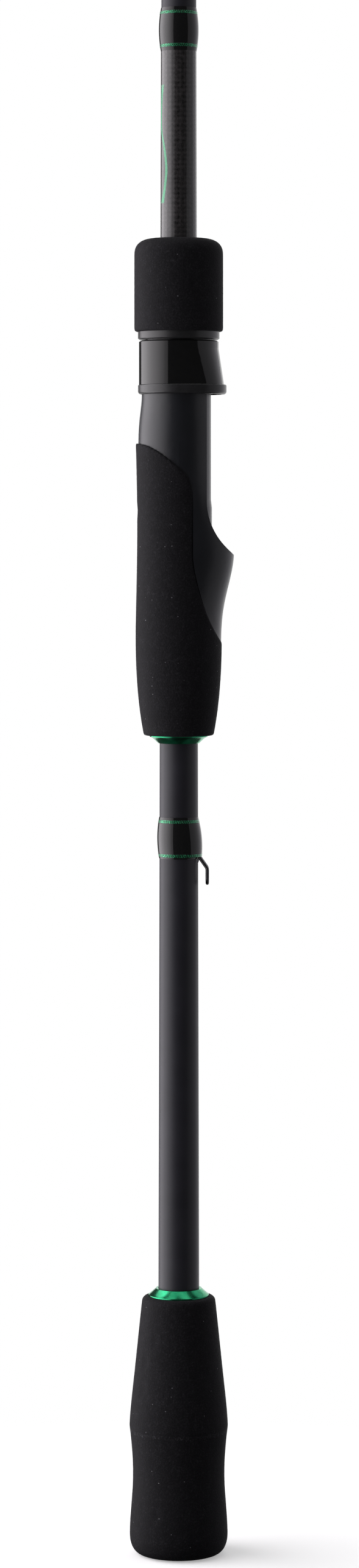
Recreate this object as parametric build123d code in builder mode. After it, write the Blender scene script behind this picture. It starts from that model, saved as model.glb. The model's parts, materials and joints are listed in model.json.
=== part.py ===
from build123d import *
import os
from math import cos, pi

# Butt section of a multi-piece spinning rod, in millimetres.
# The rod stands on its butt: +Z runs along the rod axis to the ferrule end,
# and +X is the side of the rod that the reel hangs from.

# ---- driving dimensions -------------------------------------------------
section_length = 548.0      # butt to the mouth of the ferrule socket
blank_butt_radius = 6.555   # outer radius the blank would have at z = 0
blank_taper = 0.00226       # radius lost per millimetre of length
blank_lower_end = 6.0       # the blank stops inside the butt grip
socket_radius = 4.15        # bore that takes the next section
socket_depth = 55.0

butt_grip_top = 80.2
butt_ring_top = 82.6

keeper_winding_low = 216.7
keeper_winding_high = 229.6
keeper_winding_radius = 6.75
wire_radius = 0.55
wire_half_gap = 1.9

palm_ring_low = 252.6
palm_grip_low = 255.0
palm_grip_high = 346.4

seat_low = 260.0            # end of the seat tube inside the palm grip
seat_core_radius = 10.4     # seat tube under the foam
seat_skin_radius = 12.6     # bare part of the seat
seat_bore_radius = 7.6
shoulder_z = 363.0          # bare seat ends here and the threaded barrel starts
saddle_x = 8.7              # ledge on each side of the round saddle
saddle_radius = 10.05       # round saddle that the reel foot's hollow underside lies on
saddle_low = 328.5          # below this the saddle widens to the seat tube's radius
pocket_half_width = 7.8
barrel_top = 406.0

thread_pitch = 3.0
thread_root = 8.5
thread_crest = 9.4
thread_clearance = 0.25
female_turns_up = 6.5       # nut thread starts this many pitches above the barrel's

hood_low = 361.4
hood_band_top = 364.4
hood_high = 378.1
hood_left = 12.46

flange_low = 378.5
flange_high = 380.9
flange_radius = 12.7
foregrip_high = 410.0
foregrip_radius = 13.85
nut_sleeve_radius = 11.2
nut_sleeve_top = 407.0

coat_thickness = 0.085
front_winding_low = 468.4
front_winding_high = 481.9
front_winding_radius = 6.25
ferrule_winding_low = 508.0
collar_low = section_length - 2.6

trim_width = 0.95           # metallic thread bands let into the windings


def blank_radius(z):
    """Outer radius of the tapered blank at height z."""
    return blank_butt_radius - blank_taper * z


# ---- shared shapes ------------------------------------------------------
def egg(height, left, reach, squareness=0.5523):
    """Cross-section at a height: a half circle on -X, and a fuller half that reaches +X."""
    with BuildSketch(Plane.XY.offset(height)) as section:
        with BuildLine():
            ThreePointArc((0, left), (-left, 0), (0, -left))
            Bezier((0, -left), (squareness * reach, -left), (reach, -squareness * left), (reach, 0))
            Bezier((reach, 0), (reach, squareness * left), (squareness * reach, left), (0, left))
        make_face()
    return section.sketch


def barrel_ring(low, high, middle_radius, end_lift):
    """A wound band with a bulging profile, solid down to the axis."""
    with BuildPart() as band:
        with BuildSketch(Plane.XZ):
            with BuildLine():
                Line((0, low), (blank_radius(low) + end_lift, low))
                ThreePointArc(
                    (blank_radius(low) + end_lift, low),
                    (middle_radius, (low + high) / 2),
                    (blank_radius(high) + end_lift, high),
                )
                Line((blank_radius(high) + end_lift, high), (0, high))
                Line((0, high), (0, low))
            make_face()
        revolve(axis=Axis.Z)
    return band.part


def blank_core(low, high, extra=0.0):
    """The space the blank takes up between two heights, as a solid cone."""
    with BuildPart() as core:
        with BuildSketch(Plane.XZ):
            Polygon(
                (0, low),
                (blank_radius(low) + extra, low),
                (blank_radius(high) + extra, high),
                (0, high),
                align=None,
            )
        revolve(axis=Axis.Z)
    return core.part


def slab(low, high):
    """A thick plate between two heights that is wider than the rod."""
    return Pos(0, 0, (low + high) / 2) * Box(60, 60, high - low)


def trim_band(form, height):
    """A metallic thread band let flush into a winding's surface."""
    band = form & slab(height - trim_width / 2, height + trim_width / 2)
    inner = blank_core(height - trim_width, height + trim_width, 0.1)
    return (band - inner).solid()


os.makedirs("parts", exist_ok=True)

# ---- blank --------------------------------------------------------------
socket_floor = section_length - socket_depth
with BuildPart() as blank:
    with BuildSketch(Plane.XZ):
        Polygon(
            (blank_radius(blank_lower_end), blank_lower_end),
            (blank_radius(section_length), section_length),
            (socket_radius + 0.3, section_length),
            (socket_radius, section_length - 0.3),
            (socket_radius, socket_floor),
            (socket_radius - 0.25, socket_floor),
            (5.35, blank_lower_end),
            align=None,
        )
    revolve(axis=Axis.Z)
blank.part.label = "blank"
export_step(blank.part, "parts/blank.step")

with BuildPart() as blank_clear_coat:
    add(blank_core(foregrip_high - 2.0, front_winding_low, coat_thickness))
    add(blank_core(foregrip_high - 2.0, front_winding_low), mode=Mode.SUBTRACT)
blank_clear_coat.part.label = "blank_clear_coat"
export_step(blank_clear_coat.part, "parts/blank_clear_coat.step")

# ---- butt grip, its plug and its check ring -----------------------------
plug_low = 4.6
with BuildPart() as butt_plug:
    with BuildSketch(Plane.XY.offset(plug_low)):
        Circle(blank_radius(blank_lower_end))
    extrude(amount=blank_lower_end - plug_low)
    with BuildSketch(Plane.XY.offset(blank_lower_end)):
        Circle(5.25)
    extrude(amount=9.0)
    chamfer(butt_plug.faces().sort_by(Axis.Z)[-1].edges(), length=0.8)
butt_plug.part.label = "butt_plug"
export_step(butt_plug.part, "parts/butt_plug.step")

butt_flat = 11.0            # radius of the flat the rod stands on
flare_radius = 15.27
flare_z = 6.4
waist_radius = 14.28
waist_z = 22.8
ridge_radius = 15.35
ridge_z = 39.9
neck_radius = 11.45
neck_z = 78.6
with BuildPart() as butt_grip:
    with BuildSketch(Plane.XZ):
        with BuildLine():
            Line((0, 0), (butt_flat, 0))
            Bezier((butt_flat, 0), (13.9, 0), (flare_radius, 2.6), (flare_radius, flare_z))
            Spline(
                (flare_radius, flare_z),
                (waist_radius, waist_z),
                (ridge_radius, ridge_z),
                tangents=[(-0.02, 1.0), (0.13, 1.0)],
            )
            Spline(
                (ridge_radius, ridge_z),
                (14.05, 54.0),
                (neck_radius, neck_z),
                tangents=[(-0.05, 1.0), (-0.11, 1.0)],
            )
            ThreePointArc((neck_radius, neck_z), (10.95, 79.75), (9.8, butt_grip_top))
            Line((9.8, butt_grip_top), (0, butt_grip_top))
            Line((0, butt_grip_top), (0, 0))
        make_face()
    revolve(axis=Axis.Z)
    add(blank_core(plug_low, butt_grip_top + 1), mode=Mode.SUBTRACT)
butt_grip.part.label = "butt_grip"
export_step(butt_grip.part, "parts/butt_grip.step")

with BuildPart() as butt_check_ring:
    with BuildSketch(Plane.XZ):
        with BuildLine():
            Polyline((6.0, butt_grip_top), (9.3, butt_grip_top), (9.4, butt_grip_top + 0.1))
            Line((9.4, butt_grip_top + 0.1), (9.4, butt_grip_top + 0.45))
            Bezier((9.4, butt_grip_top + 0.45), (8.6, butt_grip_top + 1.0), (7.1, butt_ring_top))
            Line((7.1, butt_ring_top), (6.0, butt_ring_top))
            Line((6.0, butt_ring_top), (6.0, butt_grip_top))
        make_face()
    revolve(axis=Axis.Z)
    add(blank_core(butt_grip_top - 1, butt_ring_top + 1, 0.03), mode=Mode.SUBTRACT)
butt_check_ring.part.label = "butt_check_ring"
export_step(butt_check_ring.part, "parts/butt_check_ring.step")

# ---- hook keeper, and the winding that binds its feet -------------------
foot_x = 6.35
foot_top = 223.0            # the feet end here, under the winding
foot_bend = 217.2
loop_x = 8.9
loop_bend = 213.6
loop_tip = 208.3 + wire_radius
with BuildPart() as hook_keeper:
    with BuildLine() as wire_path:
        FilletPolyline(
            (foot_x, wire_half_gap, foot_top),
            (foot_x, wire_half_gap, foot_bend),
            (loop_x, wire_half_gap, loop_bend),
            (loop_x, wire_half_gap, loop_tip),
            (loop_x, -wire_half_gap, loop_tip),
            (loop_x, -wire_half_gap, loop_bend),
            (foot_x, -wire_half_gap, foot_bend),
            (foot_x, -wire_half_gap, foot_top),
            radius=[1.2, 1.9, 1.85, 1.85, 1.9, 1.2],
        )
    with BuildSketch(Plane(wire_path.line @ 0, x_dir=(1, 0, 0), z_dir=wire_path.line % 0)):
        Circle(wire_radius)
    sweep()
hook_keeper.part.label = "hook_keeper"
export_step(hook_keeper.part, "parts/hook_keeper.step")

# The keeper's feet lift the winding on +X, most at its lower end.
lift_angle = 5.7
lift_pivot = 228.5
winding_round = barrel_ring(keeper_winding_low, keeper_winding_high, keeper_winding_radius, 0.1)
winding_lift = barrel_ring(
    keeper_winding_low, keeper_winding_high - 0.3, keeper_winding_radius - 0.04, 0.06
)
winding_lift = Pos(0, 0, lift_pivot) * Rot(0, -lift_angle, 0) * Pos(0, 0, -lift_pivot) * winding_lift
keeper_form = winding_round + (winding_lift & slab(keeper_winding_low, keeper_winding_high))
keeper_trims = {
    "keeper_trim_upper": trim_band(keeper_form, keeper_winding_high - 1.3),
    "keeper_trim_lower": trim_band(keeper_form, keeper_winding_low + 1.0),
}
with BuildPart() as keeper_winding:
    add(keeper_form)
    add(blank_core(keeper_winding_low - 1, keeper_winding_high + 1), mode=Mode.SUBTRACT)
    add(list(keeper_trims.values()), mode=Mode.SUBTRACT)
    add(hook_keeper.part, mode=Mode.SUBTRACT)
keeper_winding.part.label = "keeper_winding"
export_step(keeper_winding.part, "parts/keeper_winding.step")

for trim_name, trim_solid in keeper_trims.items():
    with BuildPart() as keeper_trim:
        add(trim_solid)
        add(hook_keeper.part, mode=Mode.SUBTRACT)
    keeper_trim.part.label = trim_name
    export_step(keeper_trim.part, f"parts/{trim_name}.step")

# ---- palm grip and its check ring ---------------------------------------
with BuildPart() as palm_check_ring:
    with BuildSketch(Plane.XZ):
        with BuildLine():
            Line((5.5, palm_grip_low), (9.1, palm_grip_low))
            Line((9.1, palm_grip_low), (9.1, palm_grip_low - 0.35))
            Bezier((9.1, palm_grip_low - 0.35), (8.1, palm_grip_low - 0.7), (6.45, palm_ring_low))
            Line((6.45, palm_ring_low), (5.5, palm_ring_low))
            Line((5.5, palm_ring_low), (5.5, palm_grip_low))
        make_face()
    revolve(axis=Axis.Z)
    add(blank_core(palm_ring_low - 1, palm_grip_low + 1, 0.03), mode=Mode.SUBTRACT)
palm_check_ring.part.label = "palm_check_ring"
export_step(palm_check_ring.part, "parts/palm_check_ring.step")

# Side view of the seat's bare part: everything on +X and above this edge is bare.
with BuildPart() as bare_side:
    with BuildSketch(Plane.XZ):
        with BuildLine():
            Line((-20, shoulder_z), (-20, palm_grip_high - 0.3))
            Spline(
                (-20, palm_grip_high - 0.3),
                (-11.3, 345.7),
                (0.0, 338.5),
                (4.4, 326.0),
                tangents=[(1.0, 0.0), (0.0, -1.0)],
            )
            Line((4.4, 326.0), (4.4, 312.0))
            Spline(
                (4.4, 312.0),
                (5.8, 302.5),
                (9.4, 291.4),
                (18.0, 276.5),
                tangents=[(0.0, -1.0), (0.6, -1.0)],
            )
            Line((18.0, 276.5), (22, 276.5))
            Line((22, 276.5), (22, shoulder_z))
            Line((22, shoulder_z), (-20, shoulder_z))
        make_face()
    extrude(amount=30, both=True)

with BuildPart() as palm_grip:
    with BuildSketch(Plane.XZ):
        with BuildLine():
            Line((0, palm_grip_low), (10.3, palm_grip_low))
            Bezier((10.3, palm_grip_low), (10.9, 255.0), (11.05, 255.6), (11.15, 256.5))
            Spline(
                (11.15, 256.5),
                (12.2, 263.3),
                (13.05, 272.5),
                (13.4, 281.0),
                (13.2, 300.0),
                (12.95, 321.0),
                (13.1, 334.4),
                (13.42, palm_grip_high),
            )
            Line((13.42, palm_grip_high), (0, palm_grip_high))
            Line((0, palm_grip_high), (0, palm_grip_low))
        make_face()
    revolve(axis=Axis.Z)
    add(bare_side.part, mode=Mode.SUBTRACT)
    add(blank_core(palm_grip_low - 1, seat_low), mode=Mode.SUBTRACT)
    with BuildSketch(Plane.XY.offset(seat_low)):
        Circle(seat_core_radius)
    extrude(amount=100, mode=Mode.SUBTRACT)
palm_grip.part.label = "palm_grip"
export_step(palm_grip.part, "parts/palm_grip.step")

# ---- reel seat body: tube, bare skin, fixed hood and threaded barrel ----
def thread_ridge(base_radius, tip_radius, base_width, tip_width, start, height):
    """One helical ridge; its root is sunk a little into the wall it stands on."""
    depth = tip_radius - base_radius
    sink = 0.15 if depth > 0 else -0.15
    with BuildPart() as ridge:
        with BuildLine() as path:
            Helix(thread_pitch, height, base_radius, center=(0, 0, start))
        with BuildSketch(Plane(path.line @ 0, x_dir=(1, 0, 0), z_dir=path.line % 0)):
            Polygon(
                (-sink, -base_width / 2),
                (0, -base_width / 2),
                (depth, -tip_width / 2),
                (depth, tip_width / 2),
                (0, base_width / 2),
                (-sink, base_width / 2),
                align=None,
            )
        sweep(is_frenet=True)
    return ridge.part


hood_wall = 1.5             # wall of both hoods round the reel foot
liner_thickness = 0.7
skin_low = 260.0            # the skin's form runs between these two heights
skin_high = 346.5
skin_sections = 15
fixed_hood_peak_z = 312.5   # height at which the fixed hood stands out furthest
fixed_hood_rise = 4.65      # how far it stands out there
fixed_hood_spread = 34.0    # how far up and down it takes to sink back into the skin
palm_swell_z = 285.0        # a slighter swelling behind the hood, level with the foam
palm_swell_rise = 0.6
palm_swell_spread = 25.0
fixed_pocket_floor = 299.0
lip_z = 311.2


def bump(z, centre, spread):
    """A smooth hill: 1 at the centre and 0 beyond the spread."""
    distance = min(abs(z - centre) / spread, 1.0)
    return cos(distance * pi / 2) ** 2


def fixed_hood_form(inset):
    """The bare skin with the fixed hood's outside, or a copy of it inset by a wall."""
    with BuildPart() as form:
        for index in range(skin_sections):
            z = skin_low + (skin_high - skin_low) * index / (skin_sections - 1)
            hill = bump(z, fixed_hood_peak_z, fixed_hood_spread) ** 2
            swell = palm_swell_rise * bump(z, palm_swell_z, palm_swell_spread)
            reach = seat_skin_radius + fixed_hood_rise * hill + swell
            add(egg(z, seat_skin_radius - inset, reach - inset, 0.5523 + 0.05 * hill))
        loft()
    return form.part


def pocket_space(low, high, half_width):
    """Block over the saddle that a hood's pocket is cut within."""
    with BuildPart() as space:
        with BuildSketch(Plane.XY.offset(low)):
            Polygon(
                (saddle_x, -half_width),
                (30, -half_width),
                (30, half_width),
                (saddle_x, half_width),
                align=None,
            )
        extrude(amount=high - low)
    return space.part


with BuildPart() as mouth_cut:
    with BuildSketch(Plane.XZ):
        with BuildLine():
            Spline(
                (saddle_x, 328.0),
                (10.67, 319.5),
                (12.42, 316.5),
                (14.94, 313.5),
                (16.5, 312.0),
                tangents=[(0.0, -1.0), (1.0, -0.95)],
            )
            Line((16.5, 312.0), (17.3, lip_z))
            Line((17.3, lip_z), (30, lip_z - 4))
            Line((30, lip_z - 4), (30, 380))
            Line((30, 380), (saddle_x, 380))
            Line((saddle_x, 380), (saddle_x, 328.0))
        make_face()
    extrude(amount=30, both=True)

with BuildPart() as seat_skin:
    with BuildSketch(Plane.XZ):
        with BuildLine():
            Line((0, 340), (seat_skin_radius - 0.02, 340))
            Line((seat_skin_radius - 0.02, 340), (seat_skin_radius - 0.02, skin_high))
            Spline(
                (seat_skin_radius - 0.02, skin_high),
                (12.4, 351.5),
                (11.95, 356.0),
                (11.53, 361.0),
                tangents=[(0.0, 1.0), (0.0, 1.0)],
            )
            Line((11.53, 361.0), (11.53, shoulder_z - 0.4))
            Line((11.53, shoulder_z - 0.4), (11.13, shoulder_z))
            Line((11.13, shoulder_z), (0, shoulder_z))
            Line((0, shoulder_z), (0, 340))
        make_face()
    revolve(axis=Axis.Z)
    add(fixed_hood_form(0.0))
    add(bare_side.part, mode=Mode.INTERSECT)
    add(mouth_cut.part, mode=Mode.SUBTRACT)

# The seat's tube shows through the saddle cut as a round strip between two ledges.
with BuildPart() as round_saddle:
    with BuildSketch(Plane.XZ):
        with BuildLine():
            Polyline(
                (0, seat_low),
                (seat_core_radius - 0.05, seat_low),
                (seat_core_radius - 0.05, saddle_low - 2.5),
                (saddle_radius, saddle_low),
                (saddle_radius, shoulder_z),
                (0, shoulder_z),
                (0, seat_low),
            )
        make_face()
    revolve(axis=Axis.Z)

fixed_pocket = fixed_hood_form(hood_wall) & pocket_space(fixed_pocket_floor, 332, pocket_half_width)
male_thread = thread_ridge(thread_root, thread_crest, 1.9, 1.0, shoulder_z + 2.5, barrel_top - shoulder_z - 4)
with BuildPart() as reel_seat_body:
    add(seat_skin.part)
    with BuildSketch(Plane.XY.offset(seat_low)):
        Circle(seat_core_radius)
    extrude(amount=shoulder_z - 5 - seat_low)
    add(mouth_cut.part, mode=Mode.SUBTRACT)
    add(fixed_pocket, mode=Mode.SUBTRACT)
    add(round_saddle.part)
    with BuildSketch(Plane.XY.offset(shoulder_z - 5)):
        Circle(thread_root)
    extrude(amount=barrel_top - shoulder_z + 5)
    add(male_thread)
    # keyway that stops the moving hood from turning
    with BuildSketch(Plane.XY.offset(shoulder_z)):
        with Locations((-(thread_root - 0.1) - 1.0, 0)):
            Rectangle(2.0, 3.0)
    extrude(amount=barrel_top - shoulder_z + 1, mode=Mode.SUBTRACT)
    with BuildSketch(Plane.XY.offset(seat_low)):
        Circle(seat_bore_radius)
    extrude(amount=barrel_top - seat_low, mode=Mode.SUBTRACT)
reel_seat_body.part.label = "reel_seat_body"
export_step(reel_seat_body.part, "parts/reel_seat_body.step")

with BuildPart() as fixed_hood_liner:
    add(fixed_hood_form(hood_wall))
    add(fixed_hood_form(hood_wall + liner_thickness), mode=Mode.SUBTRACT)
    add(pocket_space(fixed_pocket_floor, lip_z + 0.6, pocket_half_width), mode=Mode.INTERSECT)
fixed_hood_liner.part.label = "fixed_hood_liner"
export_step(fixed_hood_liner.part, "parts/fixed_hood_liner.step")

# Arbors fill the gap between the tapered blank and the seat's straight bore.
arbor_length = 28.0
arbor_lows = {"seat_arbor_lower": 262.0, "seat_arbor_middle": 320.0, "seat_arbor_upper": 376.0}
for arbor_name, arbor_low in arbor_lows.items():
    with BuildPart() as seat_arbor:
        with BuildSketch(Plane.XY.offset(arbor_low)):
            Circle(seat_bore_radius)
        extrude(amount=arbor_length)
        add(blank_core(arbor_low - 1, arbor_low + arbor_length + 1), mode=Mode.SUBTRACT)
    seat_arbor.part.label = arbor_name
    export_step(seat_arbor.part, f"parts/{arbor_name}.step")

# ---- moving hood --------------------------------------------------------
hood_bore_radius = thread_crest + thread_clearance
hood_reach_low = 14.2
hood_reach_high = 12.5
hood_slope_top = 375.6      # the reel side slopes up to here and is upright above
hood_squareness = 0.68
counterbore_radius = 11.2
counterbore_low = 375.4
hood_pocket_top = 373.6


def hood_pocket_form(inset):
    """Inside of the moving hood over the reel foot, narrowing upwards to wedge it."""
    with BuildPart() as form:
        add(egg(hood_low - 0.5, 11.6 - inset, 13.5 - inset, hood_squareness))
        add(egg(hood_pocket_top, 11.0 - inset, 11.7 - inset, hood_squareness))
        loft()
    return form.part


hood_pocket = hood_pocket_form(0.0) & (
    Pos(-4, 0, 0) * pocket_space(hood_low - 1, hood_pocket_top + 1, pocket_half_width)
)

with BuildPart() as moving_hood:
    add(egg(hood_band_top, hood_left, hood_reach_low, hood_squareness))
    add(egg(hood_slope_top, hood_left, hood_reach_high, 0.57))
    add(egg(hood_high, hood_left, hood_reach_high))
    loft(ruled=True)
    chamfer(moving_hood.faces().sort_by(Axis.Z)[-1].edges(), length=0.35)
    with BuildSketch(Plane.XY.offset(hood_band_top)):
        Circle(hood_bore_radius)
    extrude(amount=hood_high - hood_band_top, mode=Mode.SUBTRACT)
    with BuildSketch(Plane.XY.offset(counterbore_low)):
        Circle(counterbore_radius)
    extrude(amount=hood_high - counterbore_low, mode=Mode.SUBTRACT)
    add(hood_pocket, mode=Mode.SUBTRACT)
    # key that runs in the barrel's keyway
    with BuildSketch(Plane.XY.offset(hood_band_top + 0.6)):
        with Locations((-(thread_root + thread_clearance) - 0.75, 0)):
            Rectangle(1.5, 2.4)
    extrude(amount=counterbore_low - hood_band_top - 1.2)
moving_hood.part.label = "moving_hood"
export_step(moving_hood.part, "parts/moving_hood.step")

with BuildPart() as hood_band:
    add(egg(hood_low, 12.68, 14.9, hood_squareness))
    extrude(amount=hood_band_top - hood_low)
    fillet(hood_band.faces().sort_by(Axis.Z)[0].edges(), radius=0.9)
    fillet(hood_band.faces().sort_by(Axis.Z)[-1].edges(), radius=0.4)
    with BuildSketch(Plane.XY.offset(hood_low)):
        Circle(11.85)
    extrude(amount=2.0, mode=Mode.SUBTRACT)
    with BuildSketch(Plane.XY.offset(hood_low)):
        Circle(hood_bore_radius)
    extrude(amount=hood_band_top - hood_low, mode=Mode.SUBTRACT)
    add(hood_pocket, mode=Mode.SUBTRACT)
hood_band.part.label = "hood_band"
export_step(hood_band.part, "parts/hood_band.step")

with BuildPart() as hood_liner:
    add(hood_pocket_form(0.0))
    add(hood_pocket_form(liner_thickness), mode=Mode.SUBTRACT)
    add(pocket_space(hood_low + 0.8, hood_pocket_top, pocket_half_width), mode=Mode.INTERSECT)
    with BuildSketch(Plane.XY.offset(hood_low)):
        Circle(hood_bore_radius + 0.2)
    extrude(amount=20, mode=Mode.SUBTRACT)
hood_liner.part.label = "hood_liner"
export_step(hood_liner.part, "parts/hood_liner.step")

with BuildPart() as retaining_ring:
    with BuildSketch(Plane.XY.offset(377.0)):
        Circle(counterbore_radius)
        Circle(10.4, mode=Mode.SUBTRACT)
    extrude(amount=hood_high - 377.0)
retaining_ring.part.label = "retaining_ring"
export_step(retaining_ring.part, "parts/retaining_ring.step")

# ---- locking nut with its flange, and the foregrip bonded to it ---------
nut_bore_radius = thread_crest + thread_clearance
female_tip = thread_root + thread_clearance
female_start = shoulder_z + 2.5 + female_turns_up * thread_pitch
female_thread = thread_ridge(nut_bore_radius, female_tip, 1.6, 0.8, female_start, 9.0)
with BuildPart() as locking_nut:
    with BuildSketch(Plane.XZ):
        Polygon(
            (nut_bore_radius, 375.7),
            (10.85, 375.7),
            (10.85, 376.7),
            (10.2, 376.7),
            (10.2, flange_low),
            (flange_radius - 0.3, flange_low),
            (flange_radius, flange_low + 0.3),
            (flange_radius, flange_high),
            (nut_sleeve_radius, flange_high),
            (nut_sleeve_radius, nut_sleeve_top),
            (nut_bore_radius, nut_sleeve_top),
            align=None,
        )
    revolve(axis=Axis.Z)
    add(female_thread)
locking_nut.part.label = "locking_nut"
export_step(locking_nut.part, "parts/locking_nut.step")

with BuildPart() as foregrip:
    with BuildSketch(Plane.XZ):
        with BuildLine():
            Line((0, flange_high), (foregrip_radius - 1.0, flange_high))
            Bezier(
                (foregrip_radius - 1.0, flange_high),
                (foregrip_radius - 0.3, flange_high),
                (foregrip_radius, flange_high + 0.3),
                (foregrip_radius, flange_high + 1.0),
            )
            Line((foregrip_radius, flange_high + 1.0), (foregrip_radius, foregrip_high - 5.0))
            Bezier(
                (foregrip_radius, foregrip_high - 5.0),
                (foregrip_radius, foregrip_high - 1.6),
                (foregrip_radius - 2.2, foregrip_high - 0.3),
                (foregrip_radius - 5.2, foregrip_high),
            )
            Line((foregrip_radius - 5.2, foregrip_high), (0, foregrip_high))
            Line((0, foregrip_high), (0, flange_high))
        make_face()
    revolve(axis=Axis.Z)
    with BuildSketch(Plane.XY.offset(flange_high)):
        Circle(nut_sleeve_radius)
    extrude(amount=nut_sleeve_top + 0.2 - flange_high, mode=Mode.SUBTRACT)
    with BuildSketch(Plane.XY.offset(flange_high)):
        Circle(6.1)
    extrude(amount=40, mode=Mode.SUBTRACT)
foregrip.part.label = "foregrip"
export_step(foregrip.part, "parts/foregrip.step")

# ---- windings ahead of the grip and at the ferrule ----------------------
ferrule_winding_radius = blank_radius(ferrule_winding_low) + 0.5
windings = {
    "front": (front_winding_low, front_winding_high, front_winding_radius, 0.12),
    "ferrule": (ferrule_winding_low, collar_low, ferrule_winding_radius, 0.12),
}
for winding_name, (low, high, radius, lift) in windings.items():
    winding_form = barrel_ring(low, high, radius, lift)
    trims = {
        f"{winding_name}_trim_lower": trim_band(winding_form, low + 1.6),
        f"{winding_name}_trim_upper": trim_band(winding_form, high - 1.6),
    }
    with BuildPart() as winding:
        add(winding_form)
        add(blank_core(low - 1, high + 1), mode=Mode.SUBTRACT)
        add(list(trims.values()), mode=Mode.SUBTRACT)
    winding.part.label = f"{winding_name}_winding"
    export_step(winding.part, f"parts/{winding_name}_winding.step")
    for trim_name, trim_solid in trims.items():
        with BuildPart() as trim:
            add(trim_solid)
        trim.part.label = trim_name
        export_step(trim.part, f"parts/{trim_name}.step")

with BuildPart() as ferrule_collar:
    with BuildSketch(Plane.XY.offset(collar_low)):
        Circle(6.15)
    extrude(amount=section_length - collar_low)
    chamfer(ferrule_collar.faces().sort_by(Axis.Z)[-1].edges(), length=0.3)
    add(blank_core(collar_low - 1, section_length + 1), mode=Mode.SUBTRACT)
ferrule_collar.part.label = "ferrule_collar"
export_step(ferrule_collar.part, "parts/ferrule_collar.step")
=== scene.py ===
import json
from math import cos, exp, pi, radians, sin

import bmesh
import bpy
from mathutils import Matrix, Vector, noise
from mathutils.bvhtree import BVHTree


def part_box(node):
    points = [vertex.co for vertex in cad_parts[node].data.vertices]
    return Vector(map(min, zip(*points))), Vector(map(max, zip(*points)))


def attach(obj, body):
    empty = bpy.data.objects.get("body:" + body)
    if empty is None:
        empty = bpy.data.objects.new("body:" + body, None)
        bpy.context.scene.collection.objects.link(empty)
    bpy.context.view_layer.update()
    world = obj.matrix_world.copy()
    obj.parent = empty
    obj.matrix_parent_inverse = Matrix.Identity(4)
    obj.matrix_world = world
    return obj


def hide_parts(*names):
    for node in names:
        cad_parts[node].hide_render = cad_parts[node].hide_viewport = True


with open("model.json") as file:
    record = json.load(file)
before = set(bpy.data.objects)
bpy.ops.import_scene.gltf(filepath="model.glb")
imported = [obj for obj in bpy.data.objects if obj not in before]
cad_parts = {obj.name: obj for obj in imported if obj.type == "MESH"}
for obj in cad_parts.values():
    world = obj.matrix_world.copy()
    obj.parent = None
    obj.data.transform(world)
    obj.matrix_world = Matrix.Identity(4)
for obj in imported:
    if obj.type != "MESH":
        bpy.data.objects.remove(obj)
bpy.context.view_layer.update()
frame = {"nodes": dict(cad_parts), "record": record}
nodes = frame["nodes"]
MM = 0.001

# ---- camera: square on to the rod's side, level with the reel seat ----
CAMERA_DISTANCE = 1.35        # metres, from the rod's axis
CAMERA_HEIGHT = 0.323
SENSOR = 36.0                 # millimetres
FRAME_HEIGHT = 0.4894         # metres of rod that fill the image from bottom to top
FRAME_CENTRE_Z = 0.2398       # height on the rod at the middle of the image
AXIS_OFFSET = 0.0005          # the rod stands this share of the long side left of centre
CLIP_START, CLIP_END = 0.05, 50

camera = bpy.data.objects.new("camera", bpy.data.cameras.new("camera"))
bpy.context.scene.collection.objects.link(camera)
camera.location = (0, -CAMERA_DISTANCE, CAMERA_HEIGHT)
camera.rotation_euler = (pi / 2, 0, 0)
camera.data.sensor_width = SENSOR
camera.data.lens = SENSOR * CAMERA_DISTANCE / FRAME_HEIGHT
camera.data.shift_x = AXIS_OFFSET
camera.data.shift_y = (FRAME_CENTRE_Z - CAMERA_HEIGHT) / FRAME_HEIGHT
camera.data.clip_start = CLIP_START
camera.data.clip_end = CLIP_END
bpy.context.scene.camera = camera


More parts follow.
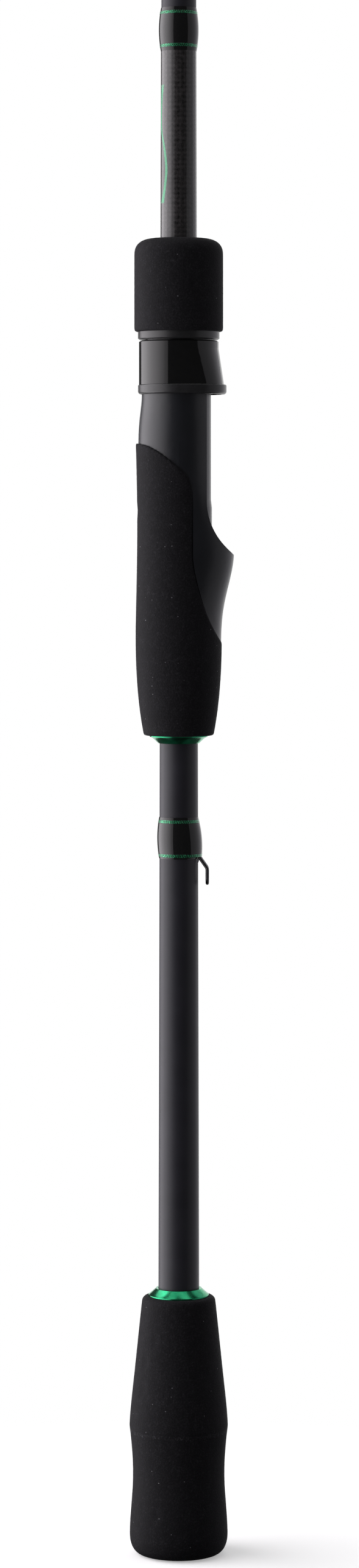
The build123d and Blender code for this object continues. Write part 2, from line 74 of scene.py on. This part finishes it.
# ---- material building blocks ----
class Finish:
    """A procedural material; lengths in its textures are millimetres in the row frame."""

    def __init__(
        self, name, base, roughness, metallic=0.0, specular=0.5, coat=0.0, coat_roughness=0.03
    ):
        self.material = bpy.data.materials.new(name)
        self.material.use_nodes = True
        tree = self.material.node_tree
        self.nodes, self.links = tree.nodes, tree.links
        self.shader = self.nodes["Principled BSDF"]
        self.set("Base Color", (*base, 1.0))
        self.set("Roughness", roughness)
        self.set("Metallic", metallic)
        self.set("Specular IOR Level", specular)
        self.set("Coat Weight", coat)
        self.set("Coat Roughness", coat_roughness)
        coordinates = self.nodes.new("ShaderNodeTexCoord")
        scaled = self.nodes.new("ShaderNodeVectorMath")
        scaled.operation = "SCALE"
        scaled.inputs["Scale"].default_value = 1 / MM
        self.links.new(coordinates.outputs["Object"], scaled.inputs[0])
        self.place = scaled.outputs[0]

    def set(self, socket, value):
        self.shader.inputs[socket].default_value = value

    def drive(self, socket, output):
        self.links.new(output, self.shader.inputs[socket])

    def math(self, operation, first, second=0.0, third=None):
        """An operation on numbers and outputs; MULTIPLY_ADD is first * second + third."""
        node = self.nodes.new("ShaderNodeMath")
        node.operation = operation
        for index, value in enumerate((first, second, third)):
            if value is None:
                continue
            if isinstance(value, (int, float)):
                node.inputs[index].default_value = value
            else:
                self.links.new(value, node.inputs[index])
        return node.outputs[0]

    def noise(self, scale, detail=2.0, roughness=0.5, place=None):
        """Cloudy noise from 0 to 1, with scale features to a millimetre."""
        node = self.nodes.new("ShaderNodeTexNoise")
        node.inputs["Scale"].default_value = scale
        node.inputs["Detail"].default_value = detail
        node.inputs["Roughness"].default_value = roughness
        self.links.new(place or self.place, node.inputs["Vector"])
        return node.outputs[0]

    def cells(self, scale):
        """Scattered cells: Distance from the nearest cell's middle, and that cell's own Color."""
        node = self.nodes.new("ShaderNodeTexVoronoi")
        node.inputs["Scale"].default_value = scale
        self.links.new(self.place, node.inputs["Vector"])
        return node.outputs

    def ramp(self, value, stops):
        """A colour for a value; stops lists (position, colour or grey level)."""
        node = self.nodes.new("ShaderNodeValToRGB")
        elements = node.color_ramp.elements
        while len(elements) < len(stops):
            elements.new(0.5)
        for element, (position, colour) in zip(elements, stops):
            element.position = position
            channels = colour if isinstance(colour, tuple) else (colour,) * 3
            element.color = (*channels, 1.0)
        self.links.new(value, node.inputs[0])
        return node.outputs[0]

    def stretch(self, x, y, z):
        """The place stretched along each axis, for grain that runs one way."""
        node = self.nodes.new("ShaderNodeVectorMath")
        node.operation = "MULTIPLY"
        node.inputs[1].default_value = (x, y, z)
        self.links.new(self.place, node.inputs[0])
        return node.outputs[0]

    def axes(self):
        """The place's X, Y and Z, in millimetres."""
        parts = self.nodes.new("ShaderNodeSeparateXYZ")
        self.links.new(self.place, parts.inputs[0])
        return parts.outputs["X"], parts.outputs["Y"], parts.outputs["Z"]

    def round_rod(self, radius):
        """(distance round the rod, distance along it) at a radius, both in millimetres."""
        x, y, along = self.axes()
        return self.math("MULTIPLY", self.math("ARCTAN2", y, x), radius), along

    def bump(self, height, distance, before=None, strength=1.0):
        """A bumped normal, where a height of 1 stands distance millimetres proud."""
        node = self.nodes.new("ShaderNodeBump")
        node.inputs["Strength"].default_value = strength
        node.inputs["Distance"].default_value = distance * MM
        self.links.new(height, node.inputs["Height"])
        if before is not None:
            self.links.new(before, node.inputs["Normal"])
        return node.outputs[0]


# measures of the finishes' patterns, in millimetres
RUBBED_RIDGE = 38.6           # height of the butt grip's widest ring, which is rubbed paler
SPECK_SPACING = 2.0
SPECK_SIZE = 0.085            # as a share of the spacing
SPECK_RARITY = 0.8            # share of the spaces that stay empty
WEAVE_RADIUS = 5.6            # the gloss blank's
TOW_WIDTH = 1.5
WINDING_PITCH = 0.22
TRIM_RADIUS = 6.3


def foam_finish():
    """Closed-cell EVA foam, sanded: dark, dull, with fine cut cells and paler specks."""
    foam = Finish("eva_foam", (0.010, 0.010, 0.011), 0.86, specular=0.10)
    cloud = foam.noise(0.5, 3.0)
    grain = foam.noise(2.0, 5.0, 0.7)
    cells = foam.cells(2.2)
    mixed = foam.math("ADD", foam.math("MULTIPLY", cloud, 0.2), foam.math("MULTIPLY", grain, 0.8))
    dust = foam.cells(1 / SPECK_SPACING)
    chance = foam.nodes.new("ShaderNodeSeparateColor")
    foam.links.new(dust["Color"], chance.inputs[0])
    speck = foam.math(
        "MULTIPLY",
        foam.math("LESS_THAN", dust["Distance"], SPECK_SIZE),
        foam.math("GREATER_THAN", chance.outputs[0], SPECK_RARITY),
    )
    height = foam.axes()[2]
    from_ridge = foam.math("ABSOLUTE", foam.math("SUBTRACT", height, RUBBED_RIDGE))
    rubbed = foam.math("MULTIPLY", foam.math("LESS_THAN", from_ridge, grain), 0.12)
    marks = foam.math("MULTIPLY_ADD", speck, 0.4, foam.math("MULTIPLY", rubbed, grain))
    colour = foam.ramp(
        foam.math("ADD", mixed, marks),
        [
            (0.36, (0.0074, 0.0072, 0.0083)),
            (0.53, (0.0114, 0.0110, 0.0127)),
            (0.66, (0.0240, 0.0232, 0.0262)),
            (0.95, (0.16, 0.16, 0.17)),
        ],
    )
    foam.drive("Base Color", colour)
    foam.drive("Roughness", foam.math("MULTIPLY_ADD", grain, 0.3, 0.62))
    normal = foam.bump(cells["Distance"], 0.05)
    foam.drive("Normal", foam.bump(grain, 0.025, before=normal))
    return foam.material


def matte_carbon_finish():
    """Bare sanded carbon blank: satin dark grey with faint tape rings and cloudy tone."""
    blank = Finish("carbon_matte", (0.020, 0.020, 0.025), 0.44, specular=0.33)
    cloud = blank.noise(0.12, 3.0)
    rings = blank.noise(1.0, 2.0, place=blank.stretch(0.05, 0.05, 2.2))
    grain = blank.noise(6.0, 3.0)
    blank.drive(
        "Base Color",
        blank.ramp(cloud, [(0.3, (0.0178, 0.0176, 0.0232)), (0.7, (0.0245, 0.0240, 0.0312))]),
    )
    blank.drive("Roughness", blank.math("MULTIPLY_ADD", grain, 0.12, 0.38))
    normal = blank.bump(rings, 0.012, strength=0.35)
    blank.drive("Normal", blank.bump(grain, 0.006, before=normal, strength=0.5))
    return blank.material


def gloss_carbon_finish():
    """Carbon weave seen through a clear gloss coat."""
    weave = Finish(
        "carbon_gloss", (0.008, 0.008, 0.008), 0.40, specular=0.10, coat=1.0, coat_roughness=0.03
    )
    weave.set("Coat IOR", 1.55)
    around, along = weave.round_rod(WEAVE_RADIUS)
    first = weave.math("MULTIPLY", weave.math("ADD", around, along), pi / TOW_WIDTH)
    second = weave.math("MULTIPLY", weave.math("SUBTRACT", around, along), pi / TOW_WIDTH)
    checks = weave.math("MULTIPLY", weave.math("SINE", first), weave.math("SINE", second))
    crowns = weave.math("ABSOLUTE", checks)
    fibre = weave.noise(5.0, 3.0, place=weave.stretch(1.0, 1.0, 0.4))
    resin = weave.noise(1.0, 2.0)
    mottle = weave.math(
        "ADD", weave.math("MULTIPLY", fibre, 0.45), weave.math("MULTIPLY", resin, 0.55)
    )
    tone = weave.math("MULTIPLY_ADD", checks, 0.10, mottle)
    weave.drive(
        "Base Color",
        weave.ramp(tone, [(0.32, (0.0030, 0.0027, 0.0028)), (0.68, (0.044, 0.0395, 0.0410))]),
    )
    weave.drive("Normal", weave.bump(crowns, 0.05, strength=0.5))
    weave.drive("Roughness", weave.math("MULTIPLY_ADD", checks, 0.10, 0.42))
    weave.drive("Coat Normal", weave.bump(checks, 0.018))
    return weave.material


def thread_finish():
    """Black winding thread under a thick self-levelled gloss epoxy."""
    thread = Finish(
        "thread_gloss", (0.003, 0.003, 0.0032), 0.6, specular=0.06, coat=1.0, coat_roughness=0.015
    )
    along = thread.axes()[2]
    turns = thread.math("SINE", thread.math("MULTIPLY", along, 2 * pi / WINDING_PITCH))
    fuzz = thread.noise(2.2, 2.0)
    thread.drive("Normal", thread.bump(turns, 0.03, strength=0.5))
    thread.drive(
        "Base Color",
        thread.ramp(fuzz, [(0.3, (0.0018, 0.0018, 0.002)), (0.7, (0.004, 0.004, 0.0044))]),
    )
    thread.drive("Coat Normal", thread.bump(thread.noise(0.28, 1.0), 0.02, strength=0.25))
    return thread.material


def green_thread_finish():
    """Twisted metallic green thread under the same epoxy, with glints painted into its colour."""
    thread = Finish(
        "green_thread", (0.03, 0.30, 0.15), 0.28, metallic=0.8, coat=0.8, coat_roughness=0.04
    )
    around, along = thread.round_rod(TRIM_RADIUS)
    twist = thread.math(
        "ADD", thread.math("MULTIPLY", around, 9.0), thread.math("MULTIPLY", along, 5.0)
    )
    glint = thread.noise(3.4, 4.0, 0.75)
    lay_and_painted_glints = thread.math("MULTIPLY_ADD", thread.math("SINE", twist), 0.07, glint)
    # painted glints: the colour swings from dark to bright with the glint noise, over a faint
    # pattern of the turns' lay
    colour = thread.ramp(
        lay_and_painted_glints,
        [
            (0.40, (0.002, 0.042, 0.017)),
            (0.52, (0.010, 0.18, 0.078)),
            (0.66, (0.12, 0.70, 0.35)),
        ],
    )
    thread.drive("Base Color", colour)
    thread.drive("Roughness", thread.math("MULTIPLY_ADD", glint, 0.3, 0.12))
    thread.drive("Normal", thread.bump(glint, 0.08, strength=0.9))
    return thread.material


def pinstripe_finish():
    """Green paint with a thin coat over it."""
    stripe = Finish(
        "pinstripe_green", (0.10, 0.28, 0.17), 0.5, specular=0.1, coat=0.25, coat_roughness=0.05
    )
    tone = stripe.noise(1.5, 2.0)
    stripe.drive(
        "Base Color", stripe.ramp(tone, [(0.3, (0.11, 0.35, 0.20)), (0.7, (0.15, 0.41, 0.25))])
    )
    return stripe.material


def anodised_finish():
    """Turned aluminium, anodised green, with fine lathe rings."""
    ring = Finish("green_anodised", (0.018, 0.33, 0.17), 0.2, metallic=1.0)
    rings = ring.noise(1.0, 2.0, place=ring.stretch(0.1, 0.1, 14.0))
    cloud = ring.noise(0.5, 2.0)
    ring.drive(
        "Base Color",
        ring.ramp(cloud, [(0.3, (0.014, 0.25, 0.112)), (0.7, (0.034, 0.38, 0.175))]),
    )
    ring.drive("Roughness", ring.math("MULTIPLY_ADD", cloud, 0.12, 0.13))
    ring.drive("Normal", ring.bump(rings, 0.008, strength=0.5))
    return ring.material


def wire_finish():
    """Black-nickel wire, bright where it is polished, with draw marks along it."""
    wire = Finish("black_wire", (0.10, 0.10, 0.105), 0.2, metallic=1.0)
    marks = wire.noise(2.5, 2.0, place=wire.stretch(1.5, 1.5, 0.2))
    wire.drive(
        "Base Color",
        wire.ramp(marks, [(0.3, (0.055, 0.055, 0.058)), (0.7, (0.16, 0.16, 0.165))]),
    )
    wire.drive("Roughness", wire.math("MULTIPLY_ADD", marks, 0.2, 0.10))
    wire.drive("Normal", wire.bump(marks, 0.006, strength=0.4))
    return wire.material


def seat_finish():
    """Moulded seat with a satin, faintly blue-black painted skin."""
    seat = Finish("seat_satin", (0.0105, 0.0112, 0.0140), 0.34, specular=0.5)
    grain = seat.noise(7.0, 3.0)
    cloud = seat.noise(0.15, 2.0)
    seat.drive(
        "Base Color",
        seat.ramp(cloud, [(0.3, (0.0080, 0.0089, 0.0122)), (0.7, (0.0118, 0.0128, 0.0172))]),
    )
    seat.drive("Roughness", seat.math("MULTIPLY_ADD", grain, 0.12, 0.29))
    seat.drive("Normal", seat.bump(grain, 0.006, strength=0.5))
    return seat.material


def hood_finish():
    """Polished black hood with hairline rub marks."""
    hood = Finish("hood_gloss", (0.0035, 0.0035, 0.0038), 0.07, specular=0.5)
    marks = hood.noise(3.0, 3.0, place=hood.stretch(1.2, 1.2, 0.15))
    cloud = hood.noise(0.4, 2.0)
    hood.drive("Roughness", hood.math("MULTIPLY_ADD", marks, 0.06, 0.035))
    hood.drive(
        "Base Color",
        hood.ramp(cloud, [(0.3, (0.0028, 0.0028, 0.003)), (0.7, (0.0042, 0.0042, 0.0046))]),
    )
    hood.drive("Normal", hood.bump(cloud, 0.01, strength=0.15))
    return hood.material


def satin_finish(name, dark, light, roughness, grain_depth=0.006):
    """Fine-grained moulded plastic or rubber between two tones."""
    plastic = Finish(name, dark, roughness, specular=0.5)
    grain = plastic.noise(6.0, 3.0)
    cloud = plastic.noise(0.5, 2.0)
    plastic.drive("Base Color", plastic.ramp(cloud, [(0.3, dark), (0.7, light)]))
    plastic.drive("Roughness", plastic.math("MULTIPLY_ADD", grain, 0.14, roughness - 0.07))
    plastic.drive("Normal", plastic.bump(grain, grain_depth, strength=0.6))
    return plastic.material


def collar_finish():
    """Black anodised collar with turned rings."""
    collar = Finish("collar_black", (0.030, 0.030, 0.033), 0.25, metallic=1.0)
    rings = collar.noise(1.0, 2.0, place=collar.stretch(0.1, 0.1, 14.0))
    collar.drive(
        "Base Color",
        collar.ramp(rings, [(0.3, (0.022, 0.022, 0.024)), (0.7, (0.045, 0.045, 0.049))]),
    )
    collar.drive("Roughness", collar.math("MULTIPLY_ADD", rings, 0.15, 0.18))
    collar.drive("Normal", collar.bump(rings, 0.008, strength=0.5))
    return collar.material


# a finish for each of the record's material slots, and one for the pinstripes
finishes = {
    "carbon_matte": matte_carbon_finish(),
    "clear_coat": gloss_carbon_finish(),
    "plug_rubber": satin_finish("plug_rubber", (0.010, 0.010, 0.010), (0.016, 0.016, 0.016), 0.7),
    "eva_foam": foam_finish(),
    "green_anodised": anodised_finish(),
    "thread_gloss": thread_finish(),
    "green_thread": green_thread_finish(),
    "black_wire": wire_finish(),
    "seat_satin": seat_finish(),
    "liner": satin_finish("liner", (0.016, 0.015, 0.016), (0.024, 0.022, 0.023), 0.5),
    "arbor_foam": satin_finish("arbor_foam", (0.16, 0.14, 0.11), (0.26, 0.23, 0.18), 0.8, 0.03),
    "hood_gloss": hood_finish(),
    "band_satin": satin_finish("band_satin", (0.013, 0.013, 0.014), (0.019, 0.019, 0.021), 0.34),
    "nut_grey": satin_finish("nut_grey", (0.014, 0.014, 0.015), (0.021, 0.021, 0.022), 0.32),
    "collar_black": collar_finish(),
    "pinstripe": pinstripe_finish(),
}
for part in frame["record"]["subparts"]:
    cad_node = nodes[part["node"]]
    cad_node.data.materials.clear()
    cad_node.data.materials.append(finishes[part["material_slot"]])


# ---- geometry helpers ----
WELD_DISTANCE = 1e-7          # metres
RAY_START = 0.05              # metres from the axis, well outside the rod


def joined_rings(first, rings, sides, closed=False):
    """Quads between rings of vertices, the first of which starts at vertex first.

    closed also joins the last ring to the first."""
    faces = []
    for ring in range(rings if closed else rings - 1):
        here, there = first + ring * sides, first + (ring + 1) % rings * sides
        for side in range(sides):
            after = (side + 1) % sides
            faces.append((here + side, here + after, there + after, there + side))
    return faces


def piece_from(name, vertices, faces, slot, body):
    """A new piece, welded, facing outward and smooth, on a body and with a slot's finish."""
    mesh = bpy.data.meshes.new(name)
    mesh.from_pydata(vertices, [], faces)
    shape = bmesh.new()
    shape.from_mesh(mesh)
    bmesh.ops.remove_doubles(shape, verts=shape.verts, dist=WELD_DISTANCE)
    bmesh.ops.recalc_face_normals(shape, faces=shape.faces)
    shape.to_mesh(mesh)
    shape.free()
    mesh.shade_smooth()
    piece = bpy.data.objects.new(name, mesh)
    bpy.context.scene.collection.objects.link(piece)
    mesh.materials.append(finishes[slot])
    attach(piece, body)
    return piece


def surface_of(node):
    """Finds where a level ray from outside meets a CAD node, as a radius from the rod's axis."""
    mesh = nodes[node].data
    tree = BVHTree.FromPolygons(
        [vertex.co for vertex in mesh.vertices], [tuple(face.vertices) for face in mesh.polygons]
    )

    def radius(angle, z):
        outward = Vector((cos(angle), sin(angle), 0))
        return tree.ray_cast(outward * RAY_START + Vector((0, 0, z)), -outward)[0].xy.length

    return radius


# ---- foam grips: remeshed evenly and given a cut-foam surface ----
FOAM_VOXEL = 0.4 * MM
FOAM_ROUGHNESS = 0.035 * MM   # how far the surface stands in or out
FINE_CELLS, COARSE_CELLS = 1.5, 0.5           # to a millimetre
FINE_SHARE, COARSE_SHARE = 0.7, 0.3
SOFTEN_FACTOR, SOFTEN_TIMES = 0.5, 3


def foam_grip(node, body):
    """A foam grip with softened edges and fine cells in its surface."""
    grip = bpy.data.objects.new(node + "_foam", nodes[node].data.copy())
    bpy.context.scene.collection.objects.link(grip)
    remesh = grip.modifiers.new("even", "REMESH")
    remesh.mode = "VOXEL"
    remesh.voxel_size = FOAM_VOXEL
    soften = grip.modifiers.new("soften", "SMOOTH")
    soften.factor = SOFTEN_FACTOR
    soften.iterations = SOFTEN_TIMES
    evaluated = grip.evaluated_get(bpy.context.evaluated_depsgraph_get())
    even = bpy.data.meshes.new_from_object(evaluated)
    grip.modifiers.clear()
    grip.data = even
    moved = []
    for vertex in even.vertices:
        place = vertex.co / MM
        cells = noise.noise(place * FINE_CELLS) * FINE_SHARE
        cells += noise.noise(place * COARSE_CELLS) * COARSE_SHARE
        moved.append(vertex.co + vertex.normal * cells * FOAM_ROUGHNESS)
    for vertex, place in zip(even.vertices, moved):
        vertex.co = place
    even.shade_smooth()
    even.materials.clear()
    even.materials.append(finishes["eva_foam"])
    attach(grip, body)
    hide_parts(node)


foam_grip("butt_grip", "rod")
foam_grip("palm_grip", "rod")
foam_grip("foregrip", "nut")

# ---- metallic trim bands: turns of thread laid side by side ----
TRIM_STRANDS = 3
STRAND_SEGMENTS = 120
STRAND_SIDES = 8
STRAND_RADIUS = 0.52          # as a share of the pitch, so that turns just overlap
STRAND_DEPTH = 0.28           # how deep a strand's middle lies, as a share of the pitch


def thread_band(node):
    """Turns of thread, half sunk in the winding, in place of a plain CAD band."""
    low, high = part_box(node)
    pitch = (high.z - low.z) / TRIM_STRANDS
    radius_at = surface_of(node)
    vertices, faces = [], []
    for strand in range(TRIM_STRANDS):
        z = low.z + pitch * (strand + 0.5)
        first = len(vertices)
        for step in range(STRAND_SEGMENTS):
            angle = 2 * pi * step / STRAND_SEGMENTS
            outer = radius_at(angle, z)
            for side in range(STRAND_SIDES):
                turn = 2 * pi * side / STRAND_SIDES
                r = outer - pitch * STRAND_DEPTH + pitch * STRAND_RADIUS * cos(turn)
                rise = pitch * STRAND_RADIUS * sin(turn)
                vertices.append((r * cos(angle), r * sin(angle), z + rise))
        faces += joined_rings(first, STRAND_SEGMENTS, STRAND_SIDES, closed=True)
    band = piece_from(node + "_thread", vertices, faces, "green_thread", "rod")
    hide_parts(node)


for trim in ("keeper", "front", "ferrule"):
    thread_band(trim + "_trim_lower")
    thread_band(trim + "_trim_upper")

# ---- pinstripes: one waved line on each side of the gloss blank, away from the reel ----
# height in millimetres, and the angle round the rod from the side away from the reel
STRIPE_POINTS = [
    (457.8, 27), (453.3, 21), (446.5, 17), (442.9, 22),
    (438.7, 36), (431.7, 47), (425.6, 40), (420.9, 27),
]
STRIPE_STEPS = 90
STRIPE_HALF_WIDTH = 0.47 * MM
STRIPE_FLARE = 0.5 * MM       # how much wider each half is at an end
STRIPE_FLARE_LENGTH = 2.5 * MM
STRIPE_PROUD = 0.02 * MM
STRIPE_SUNK = 0.05 * MM


def stripe_angle(z):
    """The stripe's angle at a height in metres, on a smooth curve through its points."""
    height = z / MM
    last = len(STRIPE_POINTS) - 1
    index = next((i for i in range(last) if height >= STRIPE_POINTS[i + 1][0]), last - 1)
    (z0, a0), (z1, a1) = STRIPE_POINTS[index], STRIPE_POINTS[index + 1]
    before, after = STRIPE_POINTS[max(index - 1, 0)], STRIPE_POINTS[min(index + 2, last)]
    slope0 = (a1 - before[1]) / (z1 - before[0])
    slope1 = (after[1] - a0) / (after[0] - z0)
    span = z1 - z0
    t = min(max((height - z0) / span, 0.0), 1.0)
    return radians(
        a0 * (2 * t**3 - 3 * t**2 + 1)
        + slope0 * span * (t**3 - 2 * t**2 + t)
        + a1 * (3 * t**2 - 2 * t**3)
        + slope1 * span * (t**3 - t**2)
    )


def pinstripe(name, mirror):
    """One waved stripe; mirror is 1 on the camera's side of the rod and -1 on the far side."""
    radius_at = surface_of("blank_clear_coat")
    top, bottom = STRIPE_POINTS[0][0] * MM, STRIPE_POINTS[-1][0] * MM
    vertices = []
    for step in range(STRIPE_STEPS + 1):
        z = top + (bottom - top) * step / STRIPE_STEPS
        centre = pi + mirror * stripe_angle(z)
        skin = radius_at(centre, z)
        from_end = min(top - z, z - bottom)
        half = (STRIPE_HALF_WIDTH + STRIPE_FLARE * exp(-from_end / STRIPE_FLARE_LENGTH)) / skin
        outside, inside = skin + STRIPE_PROUD, skin - STRIPE_SUNK
        section = ((-1, outside), (0, outside), (1, outside), (1, inside), (-1, inside))
        for across, r in section:
            angle = centre + across * half
            vertices.append((r * cos(angle), r * sin(angle), z))
    corners = len(section)
    faces = joined_rings(0, STRIPE_STEPS + 1, corners)
    faces.append(tuple(reversed(range(corners))))
    faces.append(tuple(STRIPE_STEPS * corners + corner for corner in range(corners)))
    piece = piece_from(name, vertices, faces, "green_thread", "rod")
    piece.data.shade_flat()
    piece.data.materials.clear()
    piece.data.materials.append(finishes["pinstripe"])


pinstripe("pinstripe_near", 1)
pinstripe("pinstripe_far", -1)

# ---- epoxy fillet in the crotch between the blank and the hook's wire ----
FILLET_TOP, FILLET_BOTTOM = 217.2 * MM, 214.6 * MM
FILLET_HALF_ANGLE = radians(17)
FILLET_DEPTH = 0.95 * MM
FILLET_SUNK = 0.03 * MM
FILLET_NARROWING = 0.6        # share of its width that it loses by its lower end
FILLET_FALL = 1.6             # power by which its depth runs out
FILLET_ROWS, FILLET_COLUMNS = 8, 12


def epoxy_fillet(name):
    """A closed wedge of epoxy, fullest at the winding and running out down the blank."""
    skin_at = surface_of("blank")
    across_under = [2 * column / FILLET_COLUMNS - 1 for column in range(FILLET_COLUMNS + 1)]
    section = [(0, across) for across in across_under]
    section += [(1, across) for across in reversed(across_under)]
    vertices = []
    for row in range(FILLET_ROWS + 1):
        down = row / FILLET_ROWS
        z = FILLET_TOP + (FILLET_BOTTOM - FILLET_TOP) * down
        for raised, across in section:
            angle = across * FILLET_HALF_ANGLE * (1 - FILLET_NARROWING * down)
            r = skin_at(angle, z) - FILLET_SUNK
            r += raised * FILLET_DEPTH * (1 - across * across) * (1 - down) ** FILLET_FALL
            vertices.append((r * cos(angle), r * sin(angle), z))
    faces = joined_rings(0, FILLET_ROWS + 1, len(section))
    faces.append(tuple(reversed(range(len(section)))))
    piece_from(name, vertices, faces, "thread_gloss", "rod")


epoxy_fillet("keeper_fillet")

# ---- stage and lights ----
LIGHT_HEIGHT = 0.45           # metres, of the middles of the three upright lights


def softbox(name, place, target, width, height, glow, tint=(1.0, 1.0, 1.0)):
    """An area light with a graded face.

    glow lists (share of the width, radiance), left to right from outside."""
    peak = max(radiance for _, radiance in glow)
    light = bpy.data.lights.new(name, "AREA")
    light.shape = "RECTANGLE"
    light.size, light.size_y = width, height
    light.energy = peak * width * height * pi
    light.use_nodes = True
    tree = light.node_tree
    face = tree.nodes.new("ShaderNodeNewGeometry")
    across = tree.nodes.new("ShaderNodeSeparateXYZ")
    ramp = tree.nodes.new("ShaderNodeValToRGB")
    elements = ramp.color_ramp.elements
    while len(elements) < len(glow):
        elements.new(0.5)
    for element, (share, radiance) in zip(elements, glow):
        element.position = share
        element.color = (*(radiance / peak * channel for channel in tint), 1.0)
    tree.links.new(face.outputs["Parametric"], across.inputs[0])
    tree.links.new(across.outputs["X"], ramp.inputs[0])
    tree.links.new(ramp.outputs[0], tree.nodes["Emission"].inputs["Color"])
    box = bpy.data.objects.new(name, light)
    bpy.context.scene.collection.objects.link(box)
    box.location = place
    box.rotation_euler = (Vector(place) - Vector(target)).to_track_quat("Z", "Y").to_euler()
    box.visible_camera = False


softbox(
    "left_softbox", (-0.62, -0.17, LIGHT_HEIGHT), (0, -0.17, LIGHT_HEIGHT), 1.72, 1.7,
    [(0.0, 1.7), (0.28, 3.4), (0.39, 3.2), (0.53, 2.5), (0.68, 1.6), (0.85, 0.8), (1.0, 0.6)],
    tint=(1.0, 0.965, 1.0),
)
softbox(
    "right_fill", (0.75, 0.23, LIGHT_HEIGHT), (0, 0.23, LIGHT_HEIGHT), 1.53, 1.7,
    [(0.0, 0.27), (0.25, 0.34), (0.43, 0.44), (0.61, 0.62), (1.0, 0.85)],
    tint=(1.0, 0.98, 1.04),
)
softbox(
    "back_sweep", (0.35, 1.7, LIGHT_HEIGHT), (0.35, 0, LIGHT_HEIGHT), 1.7, 2.4,
    [(0.0, 1.1), (1.0, 1.1)],
)
softbox("top_fill", (0, 0.1, 2.0), (0, 0, 0), 1.4, 1.4, [(0.0, 1.0), (1.0, 1.0)])

# a disc of white paper that only the camera sees, fading into the backdrop
FLOOR_RADIUS = 0.5
FLOOR_SIDES = 96
FADE_REACH = 200.0            # millimetres from the rod's foot to where the paper has gone
FLOOR_GLOW = 0.35

floor_mesh = bpy.data.meshes.new("floor")
turns = [2 * pi * side / FLOOR_SIDES for side in range(FLOOR_SIDES)]
floor_mesh.from_pydata(
    [(FLOOR_RADIUS * cos(turn), FLOOR_RADIUS * sin(turn), 0) for turn in turns],
    [],
    [tuple(range(FLOOR_SIDES))],
)
floor = bpy.data.objects.new("floor", floor_mesh)
bpy.context.scene.collection.objects.link(floor)
paper = Finish("floor_paper", (0.9, 0.9, 0.9), 0.8, specular=0.0)
paper.drive("Base Color", paper.ramp(paper.noise(0.02, 2.0), [(0.3, 0.88), (0.7, 0.92)]))
paper.set("Emission Color", (1.0, 1.0, 1.0, 1.0))
paper.set("Emission Strength", FLOOR_GLOW)
from_rod = paper.nodes.new("ShaderNodeVectorMath")
from_rod.operation = "LENGTH"
paper.links.new(paper.place, from_rod.inputs[0])
faded = paper.math("DIVIDE", from_rod.outputs["Value"], FADE_REACH)
paper.drive("Alpha", paper.ramp(faded, [(0.1, 1.0), (1.0, 0.0)]))
floor_mesh.materials.append(paper.material)
floor.visible_glossy = False
floor.visible_diffuse = False

# ---- world: a dim room round the rod, and white paper behind it for the camera ----
ROOM_GLOW = 0.07
BACKDROP_GLOW = 1.0

world = bpy.data.worlds.new("studio")
world.use_nodes = True
bpy.context.scene.world = world
sky = world.node_tree
room = sky.nodes["Background"]
room.inputs["Color"].default_value = (1, 1, 1, 1)
room.inputs["Strength"].default_value = ROOM_GLOW
backdrop = sky.nodes.new("ShaderNodeBackground")
backdrop.inputs["Color"].default_value = (1, 1, 1, 1)
backdrop.inputs["Strength"].default_value = BACKDROP_GLOW
path = sky.nodes.new("ShaderNodeLightPath")
choice = sky.nodes.new("ShaderNodeMixShader")
sky.links.new(path.outputs["Is Camera Ray"], choice.inputs["Fac"])
sky.links.new(room.outputs[0], choice.inputs[1])
sky.links.new(backdrop.outputs[0], choice.inputs[2])
sky.links.new(choice.outputs[0], sky.nodes["World Output"].inputs["Surface"])
bpy.context.scene.view_settings.view_transform = "Standard"
